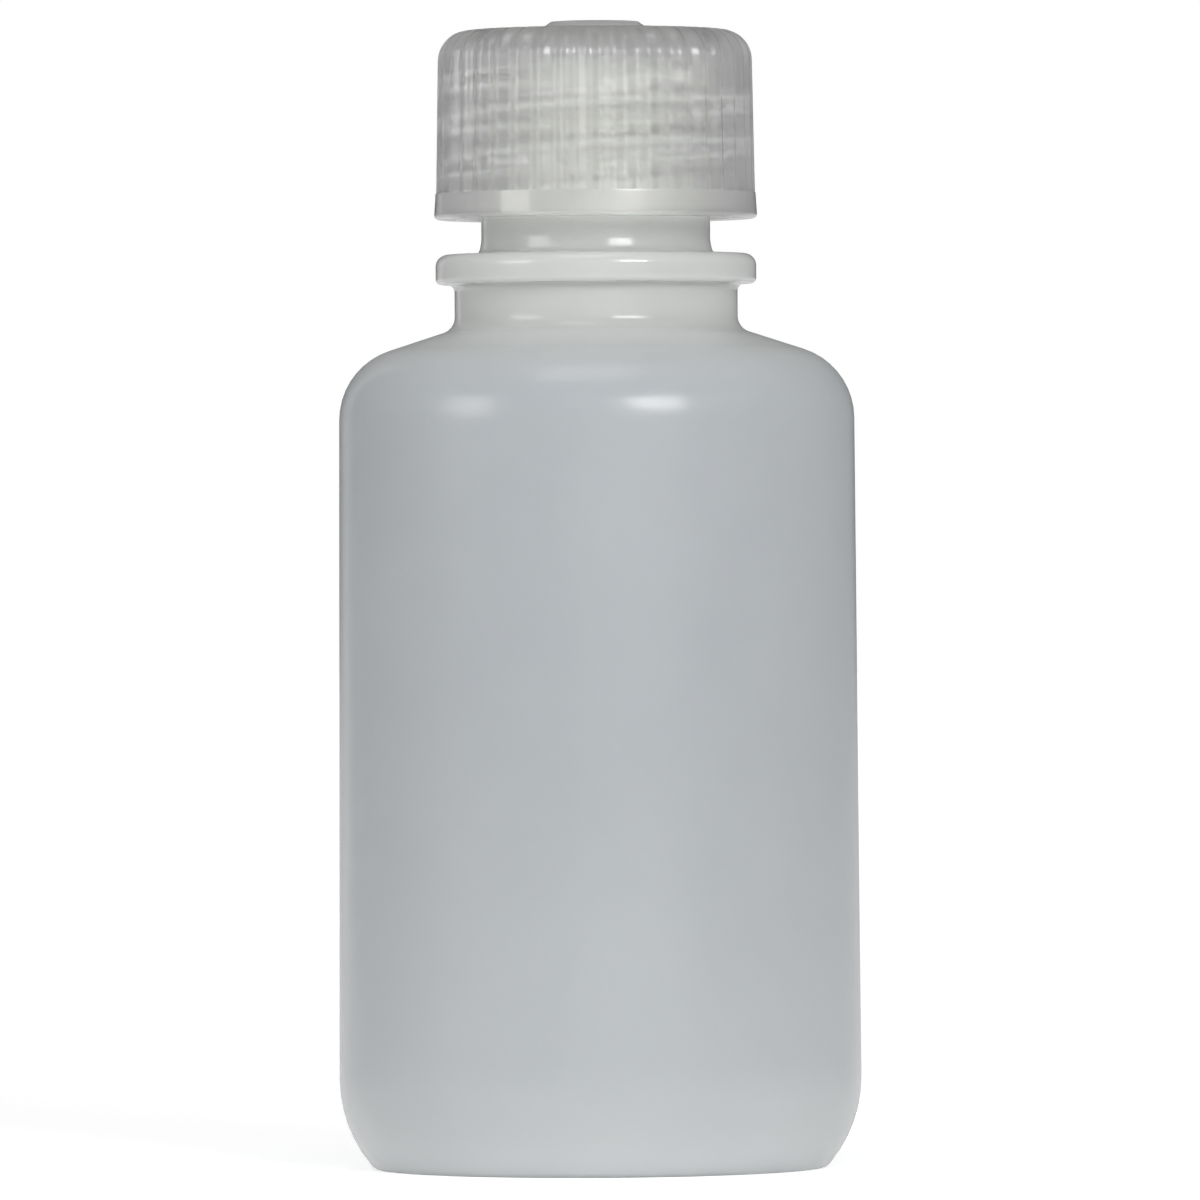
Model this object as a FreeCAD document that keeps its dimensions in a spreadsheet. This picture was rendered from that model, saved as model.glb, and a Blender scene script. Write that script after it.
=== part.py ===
import FreeCAD, Part
import math
import os
import Sketcher

# A small narrow-mouth laboratory bottle: one blown bottle with a threaded neck and a
# support ring, and one moulded screw cap with forty grip ribs. The origin is the middle
# of the standing ring, +Z runs up the bottle's axis. Millimetres and degrees.

doc = FreeCAD.newDocument("laboratory_bottle")

# Driving sizes

SIZES = [
    ("body_radius", 19.72, "outer radius of the wall where it meets the heel"),
    ("body_draft", 0.3, "how much the wall's radius falls from the heel to the shoulder"),
    ("body_height", 60.5, "height at which the wall would meet the shoulder's slope"),
    ("heel_radius", 10.08, "large rounding between the wall and the foot"),
    ("heel_angle", 50.0, "slope of the heel where it reaches the foot"),
    ("heel_flat", 0.12, "straight stretch between the two roundings of the heel"),
    ("foot_round", 0.7, "small rounding at the outer edge of the standing ring"),
    ("push_up", 1.0, "height of the recessed panel under the bottle"),
    ("ramp_width", 2.0, "width of the slope from the standing ring to the panel"),
    ("ramp_round", 1.2, "rounding at the two ends of that slope"),
    ("wall", 1.0, "thickness of the body wall"),
    ("floor_wall", 1.3, "thickness of the floor"),
    ("shoulder_wall", 1.2, "thickness of the shoulder"),
    ("inner_heel", 4.0, "rounding between the wall and the floor, inside"),
    ("floor_flat", 0.5, "level stretch inside between that rounding and the slope"),
    ("shoulder_radius", 5.5, "rounding between the wall and the shoulder"),
    ("shoulder_slope", 18.0, "slope of the shoulder"),
    ("root_radius", 10.68, "outer radius of the neck below the support ring"),
    ("root_fillet", 1.25, "fillet where the shoulder meets the neck"),
    ("root_length", 3.36, "height of the neck between the shoulder and the support ring"),
    ("ring_thickness", 2.25, "thickness of the support ring"),
    ("ring_radius", 12.1, "outer radius of the support ring"),
    ("ring_under_fillet", 0.6, "fillet below the support ring"),
    ("ring_lower_round", 0.4, "rounding of the ring's lower edge"),
    ("ring_upper_round", 0.9, "rounding of the ring's upper edge"),
    ("ring_top_fillet", 0.5, "fillet where the threaded neck leaves the ring"),
    ("neck_flare", 3.2, "rounding where the neck begins to widen towards the ring"),
    ("neck_flare_height", 0.9, "height of the widening part above the ring"),
    ("neck_flare_slope", 14.0, "angle by which the neck widens there"),
    ("neck_radius", 8.63, "outer radius of the neck between its threads"),
    ("finish_height", 14.05, "height of the threaded neck above the ring"),
    ("bore_radius", 6.7, "radius of the mouth"),
    ("bore_flare", 3.0, "rounding from the mouth's bore into the shoulder, inside"),
    ("lip_round", 0.35, "rounding of the lip's two edges"),
    ("thread_pitch", 3.175, "rise of the thread in one turn, eight turns to the inch"),
    ("thread_turns", 1.65, "turns of thread on the neck"),
    ("thread_depth", 1.17, "height of the thread above the neck"),
    ("thread_root", 2.3, "width of the thread at the neck"),
    ("thread_crest", 0.9, "width of the thread at its crest"),
    ("thread_drop", 6.8, "middle of the thread's lower end below the lip"),
    ("thread_bury", 0.4, "how far the thread's root reaches into the neck"),
    ("thread_clearance", 0.4, "gap between the neck's thread and the bore of the cap"),
    ("skirt_gap", 2.65, "gap between the support ring and the closed cap"),
    ("seal_height", 1.0, "height of the cap's seal ring, from the lip to the ceiling"),
    ("seal_radius", 7.85, "middle radius of the seal ring"),
    ("seal_tip", 0.7, "width of the seal ring where it meets the lip"),
    ("seal_root", 1.5, "width of the seal ring at the ceiling"),
    ("top_plate", 1.85, "thickness of the cap's top"),
    ("band_radius", 12.2, "outer radius of the plain band round the skirt's foot"),
    ("band_height", 1.95, "height of that band"),
    ("band_draft", 3.5, "angle by which that band narrows upwards"),
    ("band_round", 0.35, "rounding of the band's lower edge"),
    ("grip_radius", 12.04, "radius over the ribs just above the band"),
    ("grip_draft", 1.0, "angle by which the ribbed wall narrows upwards"),
    ("cap_corner", 2.3, "rounding between the ribbed wall and the top"),
    ("lead_in", 0.4, "chamfer at the mouth of the cap"),
    ("ceiling_round", 0.6, "rounding between the cap's bore and its ceiling"),
    ("rib_count", 40, "number of grip ribs"),
    ("rib_height", 0.38, "height of a rib above the flutes"),
    ("rib_root", 0.95, "width of a rib at the flutes"),
    ("rib_crest", 0.42, "width of a rib at its crest"),
    ("rib_bury", 0.3, "how far a rib's root reaches into the wall and the band"),
    ("rib_fade", 0.06, "how far below the top the ribs run out"),
    ("cap_turn", -2.2, "angle of the first rib from +X when the cap is closed"),
    ("boss_radius", 3.3, "radius of the raised disc on the top"),
    ("boss_foot", 0.9, "width of the slope round that disc"),
    ("boss_height", 0.65, "height of that disc"),
    ("boss_round", 0.25, "roundings of that disc"),
    ("dish_radius", 2.0, "radius of the shallow dish in that disc"),
    ("dish_depth", 0.2, "depth of that dish"),
]

sizes = doc.addObject("Spreadsheet::Sheet", "Sizes")
for row, (alias, value, meaning) in enumerate(SIZES, start=1):
    sizes.set(f"A{row}", meaning)
    sizes.set(f"B{row}", str(value))
    sizes.setAlias(f"B{row}", alias)
doc.recompute()

# Places that follow from the sizes

WALL_TOP = "(Sizes.body_radius - Sizes.body_draft)"
FOOT = (
    "(Sizes.body_radius - cos(Sizes.heel_angle) * (Sizes.heel_flat"
    " + Sizes.heel_radius * tan(45 - Sizes.heel_angle / 2)"
    " + Sizes.foot_round * tan(Sizes.heel_angle / 2)))"
)
INNER_WALL = "(Sizes.body_radius - Sizes.wall)"
INNER_RAMP = f"({INNER_WALL} - Sizes.inner_heel - Sizes.floor_flat)"
RAMP_OFFSET = "(Sizes.floor_wall * tan(atan(Sizes.push_up / Sizes.ramp_width) / 2))"
RAMP = f"({INNER_RAMP} + {RAMP_OFFSET})"
SHOULDER_RISE = f"(({WALL_TOP} - Sizes.root_radius) * tan(Sizes.shoulder_slope))"
SHOULDER_DROP = "(Sizes.shoulder_wall / cos(Sizes.shoulder_slope))"
ROOT_FOOT = f"(Sizes.body_height + {SHOULDER_RISE})"
RING_FOOT = f"({ROOT_FOOT} + Sizes.root_length)"
RING_TOP = f"({RING_FOOT} + Sizes.ring_thickness)"
NECK_FOOT = "(Sizes.neck_radius + Sizes.neck_flare_height * tan(Sizes.neck_flare_slope))"
LIP = f"({RING_TOP} + Sizes.finish_height)"
THREAD_START = f"({LIP} - Sizes.thread_drop)"
THREAD_RADIUS = "(Sizes.neck_radius + Sizes.thread_depth)"

SKIRT = f"({RING_TOP} + Sizes.skirt_gap)"
BAND_TOP = f"({SKIRT} + Sizes.band_height)"
BAND_HEAD = "(Sizes.band_radius - Sizes.band_height * tan(Sizes.band_draft))"
CEILING = f"({LIP} + Sizes.seal_height)"
CAP_TOP = f"({CEILING} + Sizes.top_plate)"
BOSS_TOP = f"({CAP_TOP} + Sizes.boss_height)"
CAP_BORE = f"({THREAD_RADIUS} + Sizes.thread_clearance)"
RIB_START = f"({BAND_TOP} - Sizes.rib_bury)"
RIB_END = f"({CAP_TOP} - Sizes.rib_fade)"
OPEN_END = 2.0


def grip_at(level):
    """Radius over the ribs at a height: the ribbed wall leans in by the grip's draft."""
    return f"(Sizes.grip_radius - ({level} - {BAND_TOP}) * tan(Sizes.grip_draft))"


def number(text):
    """Value of a formula over the sheet."""
    result = sizes.evalExpression(str(text))
    return float(getattr(result, "Value", result))


def bind(thing, name, text):
    """Tie a property to the sheet by a formula."""
    thing.setExpression(name, str(text))


def new_body(name):
    body = doc.addObject("PartDesign::Body", name.title().replace("_", ""))
    body.Label = name
    return body


def new_sketch(body, name, role):
    """Sketch on one of the body's own origin planes."""
    planes = [item for item in body.Origin.OriginFeatures if item.Role == role]
    sketch = body.newObject("Sketcher::SketchObject", name)
    sketch.AttachmentSupport = (planes[0], [""])
    sketch.MapMode = "FlatFace"
    return sketch


def place_point(sketch, item, end, corner):
    """Fix a point of the sketch at a corner's two formulas; 0 puts it on that axis."""
    for axis, kind, text in ((-2, "DistanceX", corner[0]), (-1, "DistanceY", corner[1])):
        if text == 0:
            sketch.addConstraint(Sketcher.Constraint("PointOnObject", item, end, axis))
            continue
        index = sketch.addConstraint(
            Sketcher.Constraint(kind, -1, 1, item, end, number(text))
        )
        bind(sketch, f"Constraints[{index}]", text)


def draw_outline(sketch, corners, closed=True):
    """Straight runs from corner to corner, with an arc in each corner that has a radius.

    A corner is (x, y, radius). A rounded corner keeps its place as a construction point,
    where the two runs beside it would meet, so its radius can change by itself.
    """
    count = len(corners)
    points = [FreeCAD.Vector(number(x), number(y), 0) for x, y, radius in corners]
    arrive = list(points)
    leave = list(points)
    centres = [None] * count
    turns_left = [True] * count
    for i, (x, y, radius) in enumerate(corners):
        if not radius:
            continue
        before = (points[i] - points[i - 1]).normalize()
        after = (points[(i + 1) % count] - points[i]).normalize()
        turn = before.getAngle(after)
        turns_left[i] = before.cross(after).z > 0
        inward = FreeCAD.Vector(-before.y, before.x, 0) * (1 if turns_left[i] else -1)
        tangent = number(radius) * math.tan(turn / 2)
        arrive[i] = points[i] - before * tangent
        leave[i] = points[i] + after * tangent
        centres[i] = arrive[i] + inward * number(radius)

    run_count = count if closed else count - 1
    runs = []
    for i in range(run_count):
        line = Part.LineSegment(leave[i], arrive[(i + 1) % count])
        runs.append(sketch.addGeometry(line, False))

    for i, (x, y, radius) in enumerate(corners):
        if not closed and i == 0:
            place_point(sketch, runs[0], 1, corners[i])
            continue
        if not closed and i == count - 1:
            place_point(sketch, runs[-1], 2, corners[i])
            continue
        run_in = runs[i - 1]
        run_out = runs[i]
        if not radius:
            sketch.addConstraint(Sketcher.Constraint("Coincident", run_in, 2, run_out, 1))
            place_point(sketch, run_out, 1, corners[i])
            continue
        first, last = (arrive[i], leave[i]) if turns_left[i] else (leave[i], arrive[i])
        circle = Part.Circle(centres[i], FreeCAD.Vector(0, 0, 1), number(radius))
        start = math.atan2(first.y - centres[i].y, first.x - centres[i].x)
        end = math.atan2(last.y - centres[i].y, last.x - centres[i].x)
        if end < start:
            end += 2 * math.pi
        arc = sketch.addGeometry(Part.ArcOfCircle(circle, start, end), False)
        arc_in, arc_out = (1, 2) if turns_left[i] else (2, 1)
        sketch.addConstraint(Sketcher.Constraint("Tangent", run_in, 2, arc, arc_in))
        sketch.addConstraint(Sketcher.Constraint("Tangent", arc, arc_out, run_out, 1))
        index = sketch.addConstraint(Sketcher.Constraint("Radius", arc, number(radius)))
        bind(sketch, f"Constraints[{index}]", radius)
        corner = sketch.addGeometry(Part.Point(points[i]), True)
        sketch.addConstraint(Sketcher.Constraint("PointOnObject", corner, 1, run_in))
        sketch.addConstraint(Sketcher.Constraint("PointOnObject", corner, 1, run_out))
        place_point(sketch, corner, 1, corners[i])
    doc.recompute()


def turned(body, kind, name, sketch):
    """Revolution or Groove of a sketch, all the way round the upright axis."""
    feature = body.newObject(f"PartDesign::{kind}", name)
    feature.Profile = sketch
    feature.ReferenceAxis = (sketch, ["V_Axis"])
    feature.Angle = 360
    sketch.Visibility = False
    return feature


def circles_at(shape, level, radii):
    """Names of the circular edges at a height whose radius is one of those given."""
    names = []
    for index, edge in enumerate(shape.Edges, start=1):
        if not isinstance(edge.Curve, Part.Circle):
            continue
        at_level = abs(edge.Curve.Center.z - level) < 1e-4
        if at_level and any(abs(edge.Curve.Radius - r) < 1e-4 for r in radii):
            names.append(f"Edge{index}")
    return names


# Bottle: the solid form, from under the floor up the outside to the lip

bottle = new_body("bottle")

outside = new_sketch(bottle, "BottleOutside", "XZ_Plane")
draw_outline(outside, [
    (0, "Sizes.push_up", None),
    (f"{RAMP} - Sizes.ramp_width", "Sizes.push_up", "Sizes.ramp_round"),
    (RAMP, 0, "Sizes.ramp_round"),
    (FOOT, 0, "Sizes.foot_round"),
    ("Sizes.body_radius", f"(Sizes.body_radius - {FOOT}) * tan(Sizes.heel_angle)",
     "Sizes.heel_radius"),
    (WALL_TOP, "Sizes.body_height", "Sizes.shoulder_radius"),
    ("Sizes.root_radius", ROOT_FOOT, "Sizes.root_fillet"),
    ("Sizes.root_radius", RING_FOOT, "Sizes.ring_under_fillet"),
    ("Sizes.ring_radius", RING_FOOT, "Sizes.ring_lower_round"),
    ("Sizes.ring_radius", RING_TOP, "Sizes.ring_upper_round"),
    (NECK_FOOT, RING_TOP, "Sizes.ring_top_fillet"),
    ("Sizes.neck_radius", f"{RING_TOP} + Sizes.neck_flare_height", "Sizes.neck_flare"),
    ("Sizes.neck_radius", LIP, None),
    (0, LIP, None),
])
turned(bottle, "Revolution", "BottleForm", outside)

# Bottle: the neck's thread, a ridge with sloping flanks that starts at the left and
# rises to the right across the front

ridge = new_sketch(bottle, "ThreadSection", "XZ_Plane")
ridge.AttachmentOffset = FreeCAD.Placement(
    FreeCAD.Vector(0, 0, 0), FreeCAD.Rotation(FreeCAD.Vector(0, 1, 0), 180)
)
ROOT = "Sizes.neck_radius - Sizes.thread_bury"
draw_outline(ridge, [
    (ROOT, f"{THREAD_START} - Sizes.thread_root / 2", None),
    (THREAD_RADIUS, f"{THREAD_START} - Sizes.thread_crest / 2", None),
    (THREAD_RADIUS, f"{THREAD_START} + Sizes.thread_crest / 2", None),
    (ROOT, f"{THREAD_START} + Sizes.thread_root / 2", None),
])
thread = bottle.newObject("PartDesign::AdditiveHelix", "Thread")
thread.Profile = ridge
thread.ReferenceAxis = (ridge, ["V_Axis"])
thread.Mode = "pitch-turns-angle"
bind(thread, "Pitch", "Sizes.thread_pitch")
bind(thread, "Turns", "Sizes.thread_turns")
ridge.Visibility = False
doc.recompute()


def run_out(name, angle, level, behind):
    """Flat cut that touches the neck at the thread's end, so that the ridge fades out.

    angle is the direction of the thread's end, level the middle of its section there,
    and behind is 1 where the thread goes on round the neck from the end and -1 where it
    comes up to it.
    """
    cut = bottle.newObject("PartDesign::SubtractiveBox", name)
    planes = [item for item in bottle.Origin.OriginFeatures if item.Role == "XY_Plane"]
    cut.AttachmentSupport = (planes[0], [""])
    cut.MapMode = "FlatFace"
    over = "(Sizes.thread_depth)"
    reach = f"(sqrt({THREAD_RADIUS} ^ 2 - Sizes.neck_radius ^ 2) + {over})"
    side = over if behind > 0 else reach
    bind(cut, "Length", f"Sizes.thread_depth + {over}")
    bind(cut, "Width", f"{over} + {reach}")
    bind(cut, "Height", "Sizes.thread_pitch")
    bind(cut, ".AttachmentOffset.Rotation.Angle", angle)
    x, y = "Sizes.neck_radius", f"(-{side})"
    bind(cut, ".AttachmentOffset.Base.x", f"{x} * cos({angle}) - {y} * sin({angle})")
    bind(cut, ".AttachmentOffset.Base.y", f"{x} * sin({angle}) + {y} * cos({angle})")
    bind(cut, ".AttachmentOffset.Base.z", f"{level} - Sizes.thread_pitch / 2")


run_out("ThreadFoot", "180", THREAD_START, behind=1)
run_out(
    "ThreadHead",
    "(180 + 360 * Sizes.thread_turns)",
    f"({THREAD_START} + Sizes.thread_pitch * Sizes.thread_turns)",
    behind=-1,
)
doc.recompute()

# Bottle: the hollow, from the floor up the inside to above the lip

inside = new_sketch(bottle, "BottleInside", "XZ_Plane")
INNER_SHOULDER = f"Sizes.body_height - {SHOULDER_DROP} + tan(Sizes.shoulder_slope)"
draw_outline(inside, [
    (0, "Sizes.push_up + Sizes.floor_wall", None),
    (f"{INNER_RAMP} - Sizes.ramp_width", "Sizes.push_up + Sizes.floor_wall",
     "Sizes.ramp_round"),
    (INNER_RAMP, "Sizes.floor_wall", "Sizes.ramp_round"),
    (INNER_WALL, "Sizes.floor_wall", "Sizes.inner_heel"),
    (f"{WALL_TOP} - Sizes.wall", f"{INNER_SHOULDER} * Sizes.wall",
     "Sizes.shoulder_radius - Sizes.wall"),
    ("Sizes.bore_radius", f"{INNER_SHOULDER} * ({WALL_TOP} - Sizes.bore_radius)",
     "Sizes.bore_flare"),
    ("Sizes.bore_radius", f"{LIP} + {OPEN_END}", None),
    (0, f"{LIP} + {OPEN_END}", None),
])
hollow = turned(bottle, "Groove", "BottleHollow", inside)
doc.recompute()

lip = bottle.newObject("PartDesign::Fillet", "Lip")
lip_edges = circles_at(
    hollow.Shape, number(LIP), (number("Sizes.neck_radius"), number("Sizes.bore_radius"))
)
lip.Base = (hollow, lip_edges)
bind(lip, "Radius", "Sizes.lip_round")
bottle.Tip = lip
doc.recompute()

# Cap: the solid form between the ribs, with the plain band and the raised disc

cap = new_body("cap")

form = new_sketch(cap, "CapOutside", "XZ_Plane")
DISH = f"{BOSS_TOP} - Sizes.dish_depth"
draw_outline(form, [
    (0, SKIRT, None),
    ("Sizes.band_radius", SKIRT, "Sizes.band_round"),
    (BAND_HEAD, BAND_TOP, None),
    ("Sizes.grip_radius - Sizes.rib_height", BAND_TOP, None),
    (f"{grip_at(CAP_TOP)} - Sizes.rib_height", CAP_TOP, "Sizes.cap_corner"),
    ("Sizes.boss_radius + Sizes.boss_foot", CAP_TOP, "Sizes.boss_round"),
    ("Sizes.boss_radius", BOSS_TOP, "Sizes.boss_round"),
    ("Sizes.dish_radius + Sizes.dish_depth", BOSS_TOP, None),
    ("Sizes.dish_radius", DISH, None),
    (0, DISH, None),
])
turned(cap, "Revolution", "CapForm", form)

# Cap: one grip rib, swept up the wall and over the rounded corner, then repeated

rib_path = new_sketch(cap, "RibPath", "XZ_Plane")
draw_outline(rib_path, [
    (grip_at(RIB_START), RIB_START, None),
    (grip_at(RIB_END), RIB_END, "Sizes.cap_corner"),
    (f"{grip_at(RIB_END)} - Sizes.cap_corner - Sizes.rib_bury", RIB_END, None),
], closed=False)

rib_section = new_sketch(cap, "RibSection", "XY_Plane")
bind(rib_section, ".AttachmentOffset.Base.z", RIB_START)
RIB_FOOT = f"{grip_at(RIB_START)} - Sizes.rib_height - Sizes.rib_bury"
RIB_FLARE = "(Sizes.rib_root - Sizes.rib_crest) / 2 / Sizes.rib_height"
ROOT_HALF = f"(Sizes.rib_root / 2 + {RIB_FLARE} * Sizes.rib_bury)"
draw_outline(rib_section, [
    (RIB_FOOT, f"-{ROOT_HALF}", None),
    (grip_at(RIB_START), "-Sizes.rib_crest / 2", None),
    (grip_at(RIB_START), "Sizes.rib_crest / 2", None),
    (RIB_FOOT, ROOT_HALF, None),
])

rib = cap.newObject("PartDesign::AdditivePipe", "Rib")
rib.Profile = rib_section
rib.Spine = (rib_path, ["Edge1", "Edge2", "Edge3"])
rib_section.Visibility = False
rib_path.Visibility = False
doc.recompute()

ribs = cap.newObject("PartDesign::PolarPattern", "Ribs")
ribs.Originals = [rib]
ribs.Axis = (rib_section, ["N_Axis"])
ribs.Angle = 360
bind(ribs, "Occurrences", "Sizes.rib_count")
cap.Tip = ribs
doc.recompute()

# Cap: the bore with its chamfered mouth, and the seal ring that closes on the lip

bore = new_sketch(cap, "CapInside", "XZ_Plane")
draw_outline(bore, [
    (0, f"{SKIRT} - {OPEN_END}", None),
    (f"{CAP_BORE} + Sizes.lead_in", f"{SKIRT} - {OPEN_END}", None),
    (f"{CAP_BORE} + Sizes.lead_in", SKIRT, None),
    (CAP_BORE, f"{SKIRT} + Sizes.lead_in", None),
    (CAP_BORE, CEILING, "Sizes.ceiling_round"),
    ("Sizes.seal_radius + Sizes.seal_root / 2", CEILING, None),
    ("Sizes.seal_radius + Sizes.seal_tip / 2", LIP, None),
    ("Sizes.seal_radius - Sizes.seal_tip / 2", LIP, None),
    ("Sizes.seal_radius - Sizes.seal_root / 2", CEILING, None),
    (0, CEILING, None),
])
hollowed = turned(cap, "Groove", "CapHollow", bore)
cap.Tip = hollowed
cap.Placement.Rotation.Axis = FreeCAD.Vector(0, 0, 1)
bind(cap, ".Placement.Rotation.Angle", "Sizes.cap_turn")
doc.recompute()

# Check everything, then write one file for each piece

for item in doc.Objects:
    if "Invalid" in item.State or "Error" in item.State:
        raise RuntimeError(f"{item.Name} did not build: {item.State}")
    if item.isDerivedFrom("Sketcher::SketchObject") and not item.FullyConstrained:
        raise RuntimeError(f"{item.Name} is not fully constrained")

os.makedirs("parts", exist_ok=True)
for body in (bottle, cap):
    shape = body.Shape
    if shape.isNull() or not shape.isValid() or len(shape.Solids) != 1:
        raise RuntimeError(f"{body.Label} is not one valid solid")
    shape.exportStep(f"parts/{body.Label}.step")
    print(body.Label, round(shape.Volume / 1000, 2), "cm3", shape.BoundBox)
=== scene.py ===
import math

import bpy
import numpy as np
from mathutils import Matrix, Vector


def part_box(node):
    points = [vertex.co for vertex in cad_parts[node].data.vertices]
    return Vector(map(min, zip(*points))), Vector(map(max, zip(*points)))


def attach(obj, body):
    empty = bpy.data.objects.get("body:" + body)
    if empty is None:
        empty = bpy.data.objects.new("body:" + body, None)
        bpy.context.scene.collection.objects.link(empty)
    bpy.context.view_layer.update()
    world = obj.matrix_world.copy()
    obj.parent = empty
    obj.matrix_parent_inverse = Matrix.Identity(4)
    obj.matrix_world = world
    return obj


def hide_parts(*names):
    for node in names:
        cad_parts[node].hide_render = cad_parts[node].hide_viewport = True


# A small laboratory bottle of natural plastic: a milky blown bottle and a clearer screw cap,
# each one closed surface turned about the upright axis. The bottle carries its thread, the
# cap its grip ribs and the thread inside. Metres; -Y is the side that the camera looks at.

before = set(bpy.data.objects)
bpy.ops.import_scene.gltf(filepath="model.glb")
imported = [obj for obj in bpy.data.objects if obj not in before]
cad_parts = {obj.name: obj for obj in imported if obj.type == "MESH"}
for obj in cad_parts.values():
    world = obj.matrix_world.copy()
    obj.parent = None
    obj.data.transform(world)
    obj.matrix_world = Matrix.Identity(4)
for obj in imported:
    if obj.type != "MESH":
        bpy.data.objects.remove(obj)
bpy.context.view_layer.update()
MM = 0.001

# Sizes of the bottle

BOTTLE_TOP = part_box("bottle")[1].z
BODY_RADIUS = 19.72 * MM
BODY_DRAFT = 0.3 * MM
BODY_HEIGHT = 60.5 * MM
HEEL_RADIUS = 10.08 * MM
HEEL_ANGLE = math.radians(50)
HEEL_FLAT = 0.12 * MM
FOOT_ROUND = 0.7 * MM
PUSH_UP = 1.0 * MM
RAMP_WIDTH = 2.0 * MM
RAMP_ROUND = 1.2 * MM
WALL = 1.0 * MM
FLOOR_WALL = 1.3 * MM
SHOULDER_WALL = 1.2 * MM
INNER_HEEL = 4.0 * MM
FLOOR_FLAT = 0.5 * MM
SHOULDER_RADIUS = 5.5 * MM
SHOULDER_SLOPE = math.radians(18)
ROOT_RADIUS = 10.68 * MM
ROOT_FILLET = 1.25 * MM
RING_THICKNESS = 2.25 * MM
RING_RADIUS = 12.1 * MM
RING_UNDER_FILLET = 0.6 * MM
RING_LOWER_ROUND = 0.4 * MM
RING_UPPER_ROUND = 0.9 * MM
RING_TOP_FILLET = 0.5 * MM
NECK_FLARE = 3.2 * MM
NECK_FLARE_HEIGHT = 0.9 * MM
NECK_FLARE_SLOPE = math.radians(14)
NECK_RADIUS = 8.63 * MM
FINISH_HEIGHT = 14.05 * MM
BORE_RADIUS = 6.7 * MM
BORE_FLARE = 3.0 * MM
LIP_ROUND = 0.35 * MM

WALL_TOP = BODY_RADIUS - BODY_DRAFT
FOOT = BODY_RADIUS - math.cos(HEEL_ANGLE) * (
    HEEL_FLAT
    + HEEL_RADIUS * math.tan(math.radians(45) - HEEL_ANGLE / 2)
    + FOOT_ROUND * math.tan(HEEL_ANGLE / 2)
)
INNER_WALL = BODY_RADIUS - WALL
INNER_RAMP = INNER_WALL - INNER_HEEL - FLOOR_FLAT
RAMP = INNER_RAMP + FLOOR_WALL * math.tan(math.atan(PUSH_UP / RAMP_WIDTH) / 2)
SLOPE = math.tan(SHOULDER_SLOPE)
INNER_SHOULDER = BODY_HEIGHT - SHOULDER_WALL / math.cos(SHOULDER_SLOPE)
LIP = BOTTLE_TOP
RING_TOP = LIP - FINISH_HEIGHT
RING_FOOT = RING_TOP - RING_THICKNESS

# Sizes of the threads

THREAD_PITCH = 3.175 * MM
THREAD_DEPTH = 1.17 * MM
THREAD_ROOT = 2.3 * MM
THREAD_CREST = 0.9 * MM
NECK_THREAD_TURNS = 1.65
NECK_THREAD_START = math.radians(180)
NECK_THREAD_FOOT = LIP - 6.8 * MM
CAP_THREAD_TURNS = 2.5
CAP_THREAD_START = math.radians(150)
CAP_THREAD_DEPTH = 0.8 * MM
CAP_THREAD_ROOT = 3.0 * MM
CAP_THREAD_CREST = 0.2 * MM
CAP_THREAD_FOOT = (
    NECK_THREAD_FOOT
    + THREAD_PITCH * (CAP_THREAD_START - NECK_THREAD_START) / (2 * math.pi)
    - THREAD_PITCH / 2
)

# Sizes of the cap

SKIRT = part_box("cap")[0].z
BOSS_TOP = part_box("cap")[1].z
BOSS_HEIGHT = 0.65 * MM
CAP_TOP = BOSS_TOP - BOSS_HEIGHT
CEILING = LIP + 1.0 * MM
CAP_BORE = NECK_RADIUS + THREAD_DEPTH + 0.4 * MM
LEAD_IN = 0.4 * MM
CEILING_ROUND = 0.6 * MM
SEAL_RADIUS = 7.85 * MM
SEAL_TIP = 0.7 * MM
SEAL_ROOT = 1.5 * MM
BAND_RADIUS = 12.2 * MM
BAND_TOP = SKIRT + 1.95 * MM
BAND_DRAFT = math.radians(3.5)
BAND_ROUND = 0.35 * MM
GRIP_RADIUS = 12.04 * MM
GRIP_DRAFT = math.radians(1)
CAP_CORNER = 2.3 * MM
RIB_COUNT = 40
RIB_HEIGHT = 0.38 * MM
RIB_ROOT = 1.88 * MM
RIB_CREST = 0.1 * MM
RIB_COLUMNS = 11
CAP_TURN = math.radians(-2.2)
BOSS_RADIUS = 3.3 * MM
BOSS_FOOT = 0.9 * MM
BOSS_ROUND = 0.25 * MM
DISH_RADIUS = 2.0 * MM
DISH_DEPTH = 0.2 * MM
FINE_ROUND = 0.12 * MM
BAND_EDGE = 0.02 * MM
BAND_STEP = 0.01 * MM

# Pieces of a rounding, columns of the bottle, how near to a thread's plain wall a point has
# to lie to carry the thread, and the widest angle from a thread's end that is worked out

ARC_STEP = math.radians(9)
BOTTLE_COLUMNS = 256
ON_WALL = 0.001 * MM
RUN_OUT_ANGLE = 1.4


# Surfaces


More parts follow.
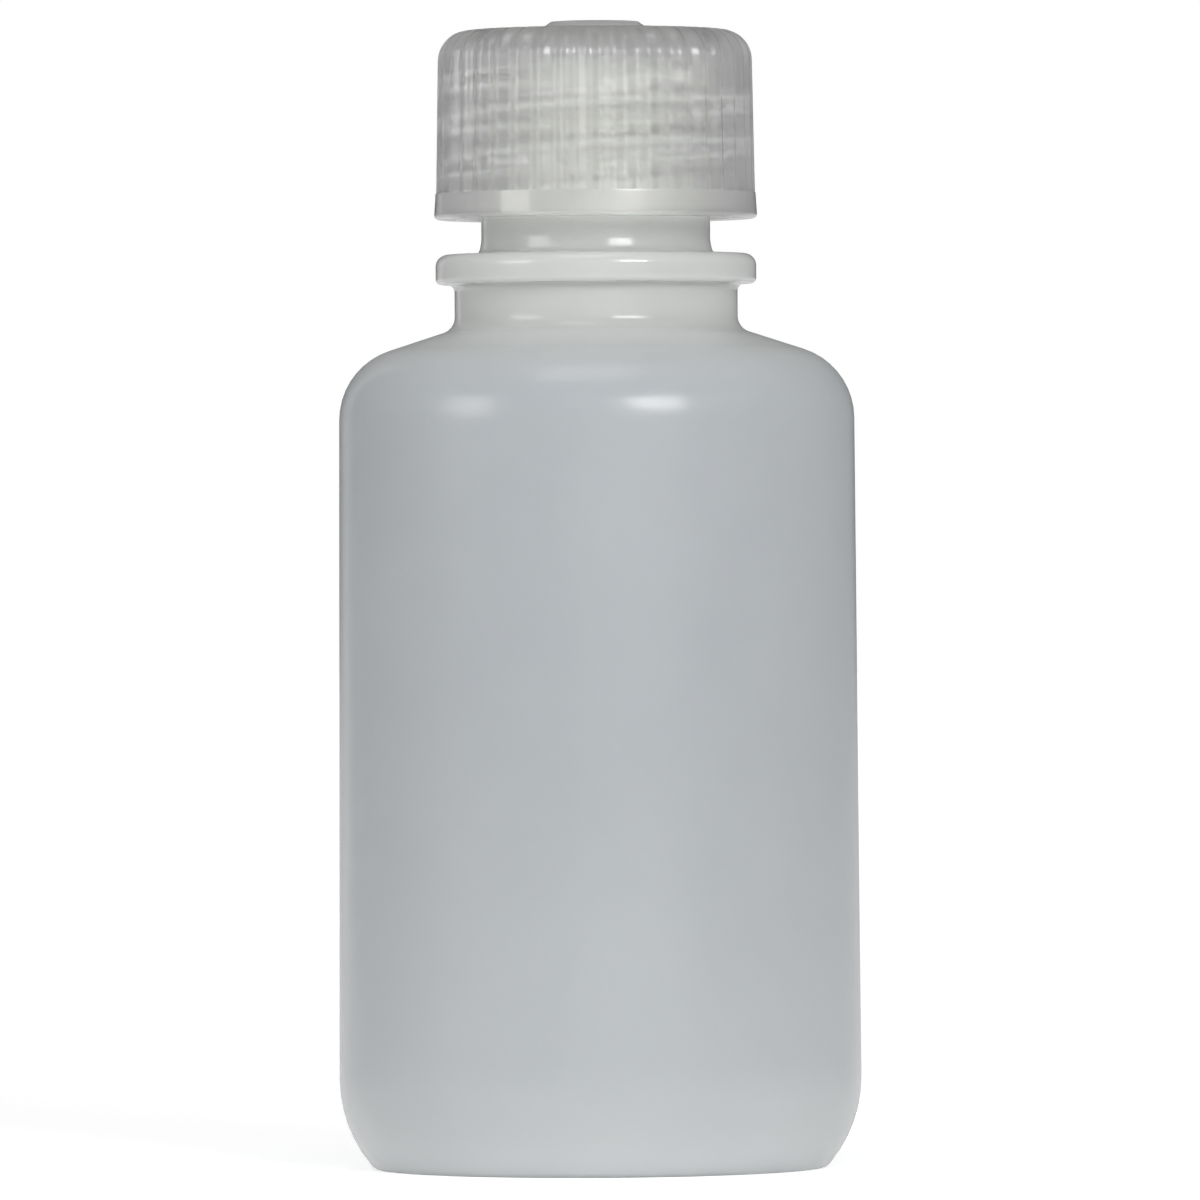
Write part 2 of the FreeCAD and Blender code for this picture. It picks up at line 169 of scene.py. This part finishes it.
def rounded_outline(corners):
    """Distance from the axis and height along an outline, as two arrays.

    A corner is (distance, height, rounding, pieces of the run that follows). A point of a
    rounding at angle a past its start is start + rounding * (ahead * sin a + inward *
    (1 - cos a)), and a run's points crowd at its ends by the cosine of equal steps. The
    finest roundings have three pieces.
    """
    places = np.array([corner[:2] for corner in corners])
    chunks = []
    starts = []
    for index, corner in enumerate(corners):
        here = places[index]
        rounding = corner[2]
        if rounding:
            ahead = here - places[index - 1]
            ahead /= np.linalg.norm(ahead)
            after = places[index + 1] - here
            after /= np.linalg.norm(after)
            turn = math.acos(float(ahead @ after))
            inward = (after - ahead * math.cos(turn)) / math.sin(turn)
            start = here - ahead * rounding * math.tan(turn / 2)
            steps = 3 if rounding <= FINE_ROUND else math.ceil(turn / ARC_STEP) + 1
            angles = np.linspace(0, turn, steps + 1)[:, None]
            arc = start + rounding * (ahead * np.sin(angles) + inward * (1 - np.cos(angles)))
        else:
            arc = here[None, :]
        chunks.append(arc)
        starts.append(arc[0])
    points = []
    for index, corner in enumerate(corners):
        points.append(chunks[index])
        if index + 1 < len(corners):
            share = (1 - np.cos(np.linspace(0, np.pi, corner[3] + 1)[1:-1, None])) / 2
            leave = chunks[index][-1]
            points.append(leave + share * (starts[index + 1] - leave))
    outline = np.vstack(points)
    return outline[:, 0], outline[:, 1]


def turned_surface(name, across, up, angles):
    """Closed mesh of the points (across * cos angle, across * sin angle, up).

    across and up have one row for each step of the outline and one column for each angle.
    The outline keeps the material on its left, so faces point outwards, and the first and
    last rows lie on the axis, where each becomes one point with a fan of triangles.
    """
    rows, columns = across.shape
    x = across * np.cos(angles)
    y = across * np.sin(angles)
    grid = np.stack([x, y, up], axis=-1)
    poles = np.array([[0, 0, up[0, 0]], [0, 0, up[-1, 0]]])
    points = np.vstack([grid[1:-1].reshape(-1, 3), poles])
    ring_count = rows - 2
    index = np.arange(ring_count * columns).reshape(ring_count, columns)
    beside = np.roll(index, -1, axis=1)
    quads = np.stack([index[:-1], beside[:-1], beside[1:], index[1:]], axis=-1).reshape(-1, 4)
    first_pole = np.full(columns, ring_count * columns)
    foot = np.stack([first_pole, beside[0], index[0]], axis=-1)
    head = np.stack([first_pole + 1, index[-1], beside[-1]], axis=-1)
    corners = np.concatenate([quads.ravel(), foot.ravel(), head.ravel()])
    starts = np.concatenate([
        np.arange(len(quads)) * 4,
        len(quads) * 4 + np.arange(2 * columns) * 3,
    ])
    mesh = bpy.data.meshes.new(name)
    mesh.vertices.add(len(points))
    mesh.vertices.foreach_set("co", points.astype(np.float32).ravel())
    mesh.loops.add(len(corners))
    mesh.loops.foreach_set("vertex_index", corners.astype(np.int32))
    mesh.polygons.add(len(starts))
    mesh.polygons.foreach_set("loop_start", starts.astype(np.int32))
    mesh.polygons.foreach_set("use_smooth", np.ones(len(starts), dtype=bool))
    mesh.update(calc_edges=True)
    mesh.validate()
    piece = bpy.data.objects.new(name, mesh)
    bpy.context.scene.collection.objects.link(piece)
    return piece


def eased(share):
    """Smooth step: 3 s^2 - 2 s^3 of a share held between 0 and 1."""
    held = np.clip(share, 0, 1)
    return held * held * (3 - 2 * held)


def helical_ridge(angles, levels, start, foot, turns, radius, depth, root, crest):
    """Share of its full height that a thread has at each angle and level.

    Its middle line rises by one pitch a turn from level foot at angle start. Across it the
    share falls by the smooth step from the crest's edge to the root's edge. Towards both
    ends it is held to radius * (1 / cos a - 1) / depth, at angle a from the end, so it runs
    out.
    """
    share = np.zeros(np.broadcast(angles, levels).shape)
    for turn in range(math.ceil(turns)):
        passed = np.mod(angles - start, 2 * np.pi) + 2 * np.pi * turn
        middle = foot + THREAD_PITCH * passed / (2 * np.pi)
        ridge = eased((root / 2 - np.abs(levels - middle)) / ((root - crest) / 2))
        left = np.clip(np.minimum(passed, 2 * np.pi * turns - passed), 0, RUN_OUT_ANGLE)
        run_out = np.clip(radius * (1 / np.cos(left) - 1) / depth, 0, 1)
        share = np.maximum(share, np.minimum(ridge, run_out))
    return share


# The bottle

bottle_outline = rounded_outline([
    (0, PUSH_UP, None, 12),
    (RAMP - RAMP_WIDTH, PUSH_UP, RAMP_ROUND, 3),
    (RAMP, 0, RAMP_ROUND, 4),
    (FOOT, 0, FOOT_ROUND, 2),
    (BODY_RADIUS, (BODY_RADIUS - FOOT) * math.tan(HEEL_ANGLE), HEEL_RADIUS, 30),
    (WALL_TOP, BODY_HEIGHT, SHOULDER_RADIUS, 8),
    (ROOT_RADIUS, BODY_HEIGHT + (WALL_TOP - ROOT_RADIUS) * SLOPE, ROOT_FILLET, 4),
    (ROOT_RADIUS, RING_FOOT, RING_UNDER_FILLET, 3),
    (RING_RADIUS, RING_FOOT, RING_LOWER_ROUND, 3),
    (RING_RADIUS, RING_TOP, RING_UPPER_ROUND, 4),
    (NECK_RADIUS + NECK_FLARE_HEIGHT * math.tan(NECK_FLARE_SLOPE), RING_TOP, RING_TOP_FILLET, 2),
    (NECK_RADIUS, RING_TOP + NECK_FLARE_HEIGHT, NECK_FLARE, 96),
    (NECK_RADIUS, LIP, LIP_ROUND, 2),
    (BORE_RADIUS, LIP, LIP_ROUND, 16),
    (BORE_RADIUS, INNER_SHOULDER + SLOPE * (WALL_TOP - BORE_RADIUS), BORE_FLARE, 8),
    (WALL_TOP - WALL, INNER_SHOULDER + SLOPE * WALL, SHOULDER_RADIUS - WALL, 26),
    (INNER_WALL, FLOOR_WALL, INNER_HEEL, 2),
    (INNER_RAMP, FLOOR_WALL, RAMP_ROUND, 3),
    (INNER_RAMP - RAMP_WIDTH, PUSH_UP + FLOOR_WALL, RAMP_ROUND, 10),
    (0, PUSH_UP + FLOOR_WALL, None, 0),
])


def bottle_surface():
    """The turned outline, with the thread's share of its depth added to the neck's radius."""
    angles = np.arange(BOTTLE_COLUMNS) * 2 * np.pi / BOTTLE_COLUMNS
    across, up = bottle_outline
    across = np.repeat(across[:, None], BOTTLE_COLUMNS, axis=1)
    up = np.repeat(up[:, None], BOTTLE_COLUMNS, axis=1)
    thread = helical_ridge(
        angles[None, :], up, NECK_THREAD_START, NECK_THREAD_FOOT, NECK_THREAD_TURNS,
        NECK_RADIUS, THREAD_DEPTH, THREAD_ROOT, THREAD_CREST,
    )
    on_neck = np.abs(across - NECK_RADIUS) < ON_WALL
    across = across + on_neck * thread * THREAD_DEPTH
    return turned_surface("bottle_shell", across, up, angles)


# The cap


def cap_outline(rib):
    """The cap's outline from under its top, round the skirt and over the outside.

    rib is how far the ribbed wall stands out from the flutes, 0 in a flute and the rib's
    height on its crest. Both outlines have the same number of points.
    """
    wall_foot = GRIP_RADIUS - RIB_HEIGHT + rib
    wall_head = wall_foot - (CAP_TOP - BAND_TOP) * math.tan(GRIP_DRAFT)
    return rounded_outline([
        (0, CEILING, None, 8),
        (SEAL_RADIUS - SEAL_ROOT / 2, CEILING, FINE_ROUND, 3),
        (SEAL_RADIUS - SEAL_TIP / 2, LIP, FINE_ROUND, 1),
        (SEAL_RADIUS + SEAL_TIP / 2, LIP, FINE_ROUND, 3),
        (SEAL_RADIUS + SEAL_ROOT / 2, CEILING, FINE_ROUND, 2),
        (CAP_BORE, CEILING, CEILING_ROUND, 80),
        (CAP_BORE, SKIRT + LEAD_IN, FINE_ROUND, 1),
        (CAP_BORE + LEAD_IN, SKIRT, FINE_ROUND, 3),
        (BAND_RADIUS, SKIRT, BAND_ROUND, 5),
        (BAND_RADIUS - (BAND_TOP - SKIRT) * math.tan(BAND_DRAFT), BAND_TOP, BAND_EDGE, 1),
        (wall_foot, BAND_TOP, BAND_STEP, 16),
        (wall_head, CAP_TOP, CAP_CORNER, 5),
        (BOSS_RADIUS + BOSS_FOOT, CAP_TOP, BOSS_ROUND, 3),
        (BOSS_RADIUS, BOSS_TOP, BOSS_ROUND, 2),
        (DISH_RADIUS + DISH_DEPTH, BOSS_TOP, FINE_ROUND, 1),
        (DISH_RADIUS, BOSS_TOP - DISH_DEPTH, FINE_ROUND, 4),
        (0, BOSS_TOP - DISH_DEPTH, None, 0),
    ])


def rib_columns():
    """Angles of the cap's columns and the share of the rib's height at each.

    Across a rib the share falls by the smooth step from the edge of its crest to its foot,
    so that the feet of two ribs meet softly in the flute.
    """
    count = RIB_COUNT * RIB_COLUMNS
    angles = CAP_TURN + np.arange(count) * 2 * np.pi / count
    flute = np.pi / RIB_COUNT
    aside = np.abs(np.mod(angles - CAP_TURN + flute, 2 * flute) - flute) * GRIP_RADIUS
    return angles, eased((RIB_ROOT / 2 - aside) / ((RIB_ROOT - RIB_CREST) / 2))


def cap_surface():
    """The turned flute outline, moved by the rib's share towards the crest outline."""
    angles, share = rib_columns()
    core_across, core_up = cap_outline(0)
    crest_across, crest_up = cap_outline(RIB_HEIGHT)
    across = core_across[:, None] + (crest_across - core_across)[:, None] * share
    up = core_up[:, None] + (crest_up - core_up)[:, None] * share
    thread = helical_ridge(
        angles[None, :], up, CAP_THREAD_START, CAP_THREAD_FOOT, CAP_THREAD_TURNS,
        CAP_BORE, CAP_THREAD_DEPTH, CAP_THREAD_ROOT, CAP_THREAD_CREST,
    )
    in_bore = np.abs(across - CAP_BORE) < ON_WALL
    across = across - in_bore * thread * CAP_THREAD_DEPTH
    return turned_surface("cap_shell", across, up, angles)


# Materials

WHITE = (1.0, 1.0, 1.0, 1.0)
BODY_TONE = (0.57, 0.60, 0.625, 1.0)
# Whiter tone that the random clouds and the painted floor bounce at the foot lean towards
CLOUD_AND_PAINTED_BOUNCE_WHITE = (0.87, 0.90, 0.91, 1.0)
# Whiter tone of the neck, which under the cap is painted light
NECK_WHITE_AND_PAINTED_LIGHT = (0.90, 0.90, 0.85, 1.0)
CAP_CLOUD = (0.96, 0.97, 0.965, 1.0)
CAP_CLEAR = (0.985, 0.99, 0.985, 1.0)
FLOOR_TONE = (0.92, 0.92, 0.92, 1.0)


class Field:
    """One output of a material's nodes, which takes part in sums like a number."""

    def __init__(self, tree, output):
        self.tree = tree
        self.output = output

    def node(self, kind, settings, inputs, output=0):
        """Any other node: its settings come first, then its values and links."""
        made = self.tree.nodes.new(kind)
        for name, value in settings.items():
            setattr(made, name, value)
        for name, value in inputs.items():
            if isinstance(value, Field):
                self.tree.links.new(value.output, made.inputs[name])
            else:
                made.inputs[name].default_value = value
        return Field(self.tree, made.outputs[output])

    def sum_of(self, operation, first, second=0.0):
        return self.node("ShaderNodeMath", {"operation": operation}, {0: first, 1: second})

    def __add__(self, other):
        return self.sum_of("ADD", self, other)

    __radd__ = __add__

    def __sub__(self, other):
        return self.sum_of("SUBTRACT", self, other)

    def __rsub__(self, other):
        return self.sum_of("SUBTRACT", other, self)

    def __mul__(self, other):
        return self.sum_of("MULTIPLY", self, other)

    __rmul__ = __mul__

    def step(self, low, high):
        """0 below low, 1 above high, smooth between."""
        return self.node(
            "ShaderNodeMapRange",
            {"interpolation_type": "SMOOTHSTEP"},
            {"Value": self, "From Min": low, "From Max": high},
        )

    def between(self, low, high):
        """Colour that goes from low to high with this share; either end can be a field."""
        return self.node(
            "ShaderNodeMix",
            {"data_type": "RGBA"},
            {0: self, 6: low, 7: high},
            output=2,
        )

    def noise(self, scale, detail):
        return self.node(
            "ShaderNodeTexNoise", {}, {"Vector": self, "Scale": scale, "Detail": detail}
        )


def new_material(name):
    """A material with one shader, and the object's own coordinates as a field."""
    material = bpy.data.materials.new(name)
    material.use_nodes = True
    tree = material.node_tree
    shader = tree.nodes["Principled BSDF"]
    coordinates = tree.nodes.new("ShaderNodeTexCoord")
    return material, shader, Field(tree, coordinates.outputs["Object"])


def feed(shader, name, field):
    field.tree.links.new(field.output, shader.inputs[name])


def natural_polyethylene():
    """Milky blown plastic, faintly blue, with whiter clouds, painted floor bounce at the foot
    and a whiter neck, painted light under the cap.
    """
    material, shader, place = new_material("natural_polyethylene")
    height = place.node("ShaderNodeSeparateXYZ", {}, {"Vector": place}, output="Z")
    # Painted light: lighter towards the bottom, most within 9 mm of the floor, for light bounced
    # up from the floor
    foot = (1 - height.step(0, 40 * MM)) * 0.24 + (1 - height.step(0, 9 * MM)) * 0.4
    # Whiter from the shoulder up to the neck, and above 70.5 mm, under the cap, whiter still as
    # painted light for the light that comes through the cap
    neck = height.step(58.5 * MM, 64.5 * MM) * 0.52 + height.step(70.5 * MM, 73 * MM) * 0.48
    cloud = place.noise(90.0, 3.0)
    wall = (cloud * 0.2 + foot).between(BODY_TONE, CLOUD_AND_PAINTED_BOUNCE_WHITE)
    feed(shader, "Base Color", neck.between(wall, NECK_WHITE_AND_PAINTED_LIGHT))
    feed(shader, "Roughness", cloud * 0.06 + 0.2 - height.step(61 * MM, 66 * MM) * 0.1)
    grain = place.noise(2600.0, 2.0)
    bump = place.node(
        "ShaderNodeBump", {}, {"Strength": 0.08, "Distance": 0.05 * MM, "Height": grain},
        output="Normal",
    )
    feed(shader, "Normal", bump)
    shader.inputs["IOR"].default_value = 1.53
    shader.inputs["Subsurface Weight"].default_value = 1.0
    shader.inputs["Subsurface Radius"].default_value = (1.0, 1.0, 1.0)
    shader.inputs["Subsurface Scale"].default_value = 1.5 * MM
    return material


def natural_polypropylene():
    """Clearer moulded plastic of the cap, slightly cloudy and smooth."""
    material, shader, place = new_material("natural_polypropylene")
    cloud = place.noise(140.0, 3.0)
    feed(shader, "Base Color", cloud.between(CAP_CLOUD, CAP_CLEAR))
    feed(shader, "Roughness", cloud * 0.02 + 0.3)
    shader.inputs["IOR"].default_value = 1.49
    shader.inputs["Transmission Weight"].default_value = 0.92
    shader.inputs["Specular IOR Level"].default_value = 0.2
    shader.inputs["Coat Weight"].default_value = 0.7
    shader.inputs["Coat Roughness"].default_value = 0.08
    return material


bottle = bottle_surface()
bottle.data.materials.append(natural_polyethylene())
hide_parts("bottle")
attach(bottle, "bottle")

cap = cap_surface()
cap.data.materials.append(natural_polypropylene())
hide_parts("cap")
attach(cap, "cap")

# The studio

CAMERA_DISTANCE = 1.0
CAMERA_HEIGHT = 46.5 * MM
CAMERA_TARGET = Vector((0.166 * MM, 0, 42.85 * MM))
CAMERA_LENS = 397.4
CAMERA_ROLL = math.radians(-0.33)

# Strength of the world's light, what is seen through the cap in front and behind, and how
# much darker the back is in a mirrored ray

STUDIO_LEVEL = 0.28
THROUGH_LEVEL = 1.0
BEHIND_LEVEL = 0.05
DARK_BACK = 0.26

# The floor's own light for the camera, the part that the lamps give near the bottle, and its
# own light in a mirrored ray

FLOOR_GLOW = 0.84
LIT_FLOOR = 0.25
FLOOR_MIRRORED = 0.45

# Each lamp's name, azimuth, elevation, distance, width, height and power

LAMPS = [
    ("softbox_right", 26.5, 22, 0.6, 0.24, 0.18, 1.15),
    ("softbox_left", -60, 18, 0.6, 0.24, 0.25, 0.6),
    ("front_fill", 14, 0, 1.4, 1.2, 0.8, 1.75),
    ("rim_left", -149, 8, 0.6, 0.08, 0.6, 0.06),
    ("softbox_top", -10, 72, 0.6, 0.3, 0.3, 0.42),
]


def add_camera():
    data = bpy.data.cameras.new("camera")
    data.lens = CAMERA_LENS
    data.clip_end = 20
    camera = bpy.data.objects.new("camera", data)
    bpy.context.scene.collection.objects.link(camera)
    camera.location = (CAMERA_TARGET.x, -CAMERA_DISTANCE, CAMERA_HEIGHT)
    aim = CAMERA_TARGET - camera.location
    facing = aim.to_track_quat("-Z", "Y").to_matrix().to_4x4()
    roll = Matrix.Rotation(CAMERA_ROLL, 4, "Z")
    camera.matrix_world = Matrix.Translation(camera.location) @ facing @ roll
    bpy.context.scene.camera = camera


def add_softbox(name, azimuth, elevation, distance, width, height, power):
    """Area lamp that faces the bottle, at an azimuth to the right of the camera."""
    data = bpy.data.lights.new(name, "AREA")
    data.shape = "RECTANGLE"
    data.size = width
    data.size_y = height
    data.energy = power
    lamp = bpy.data.objects.new(name, data)
    bpy.context.scene.collection.objects.link(lamp)
    across = math.radians(azimuth)
    rise = math.radians(elevation)
    middle = Vector((0, 0, 45 * MM))
    away = Vector((
        math.sin(across) * math.cos(rise), -math.cos(across) * math.cos(rise), math.sin(rise)
    ))
    lamp.location = middle + away * distance
    lamp.rotation_euler = (-away).to_track_quat("-Z", "Y").to_euler()


def add_world():
    """White for the camera and a plain grey light for the bottle.

    Seen through the cap it is white in front and dark to the sides and behind, and a
    mirrored ray that leaves level towards the back is darker, which draws the outline.
    """
    world = bpy.data.worlds.new("studio")
    world.use_nodes = True
    tree = world.node_tree
    background = tree.nodes["Background"]
    background.inputs["Color"].default_value = WHITE
    path = tree.nodes.new("ShaderNodeLightPath")
    camera = Field(tree, path.outputs["Is Camera Ray"])
    glossy = Field(tree, path.outputs["Is Glossy Ray"])
    through = Field(tree, path.outputs["Is Transmission Ray"])
    towards = Field(tree, tree.nodes.new("ShaderNodeTexCoord").outputs["Generated"])
    behind = towards.node("ShaderNodeSeparateXYZ", {}, {"Vector": towards}, output="Y")
    above = towards.node("ShaderNodeSeparateXYZ", {}, {"Vector": towards}, output="Z")
    away = behind.step(-0.99, -0.55) * (1 - above.step(0.05, 0.35) * 0.5)
    seen_through = THROUGH_LEVEL - away * (THROUGH_LEVEL - BEHIND_LEVEL) - STUDIO_LEVEL
    darkening = behind.step(0.93, 0.99) * (1 - above.step(0.05, 0.3)) * DARK_BACK
    strength = (
        STUDIO_LEVEL
        + camera * (1 - STUDIO_LEVEL)
        + through * seen_through
        - glossy * darkening
    )
    tree.links.new(strength.output, background.inputs["Strength"])
    bpy.context.scene.world = world


def add_floor():
    """Pale floor that looks white where it is seen and still keeps the bottle's shadow.

    It adds a little light of its own for the camera, less where the lamps reach it.
    """
    mesh = bpy.data.meshes.new("floor")
    mesh.from_pydata([(-4, -4, 0), (4, -4, 0), (4, 4, 0), (-4, 4, 0)], [], [(0, 1, 2, 3)])
    floor = bpy.data.objects.new("floor", mesh)
    bpy.context.scene.collection.objects.link(floor)
    material, shader, place = new_material("floor")
    shader.inputs["Base Color"].default_value = FLOOR_TONE
    shader.inputs["Roughness"].default_value = 0.9
    shader.inputs["Specular IOR Level"].default_value = 0.0
    shader.inputs["Emission Color"].default_value = WHITE
    path = material.node_tree.nodes.new("ShaderNodeLightPath")
    camera = Field(material.node_tree, path.outputs["Is Camera Ray"])
    glossy = Field(material.node_tree, path.outputs["Is Glossy Ray"])
    distance = place.node(
        "ShaderNodeVectorMath", {"operation": "LENGTH"}, {0: place}, output="Value"
    )
    glow = FLOOR_GLOW - (1 - distance.step(0.1, 0.8)) * LIT_FLOOR
    feed(shader, "Emission Strength", camera * glow + glossy * FLOOR_MIRRORED)
    mesh.materials.append(material)


add_camera()
add_world()
add_floor()
for lamp in LAMPS:
    add_softbox(*lamp)
bpy.context.scene.view_settings.view_transform = "Standard"
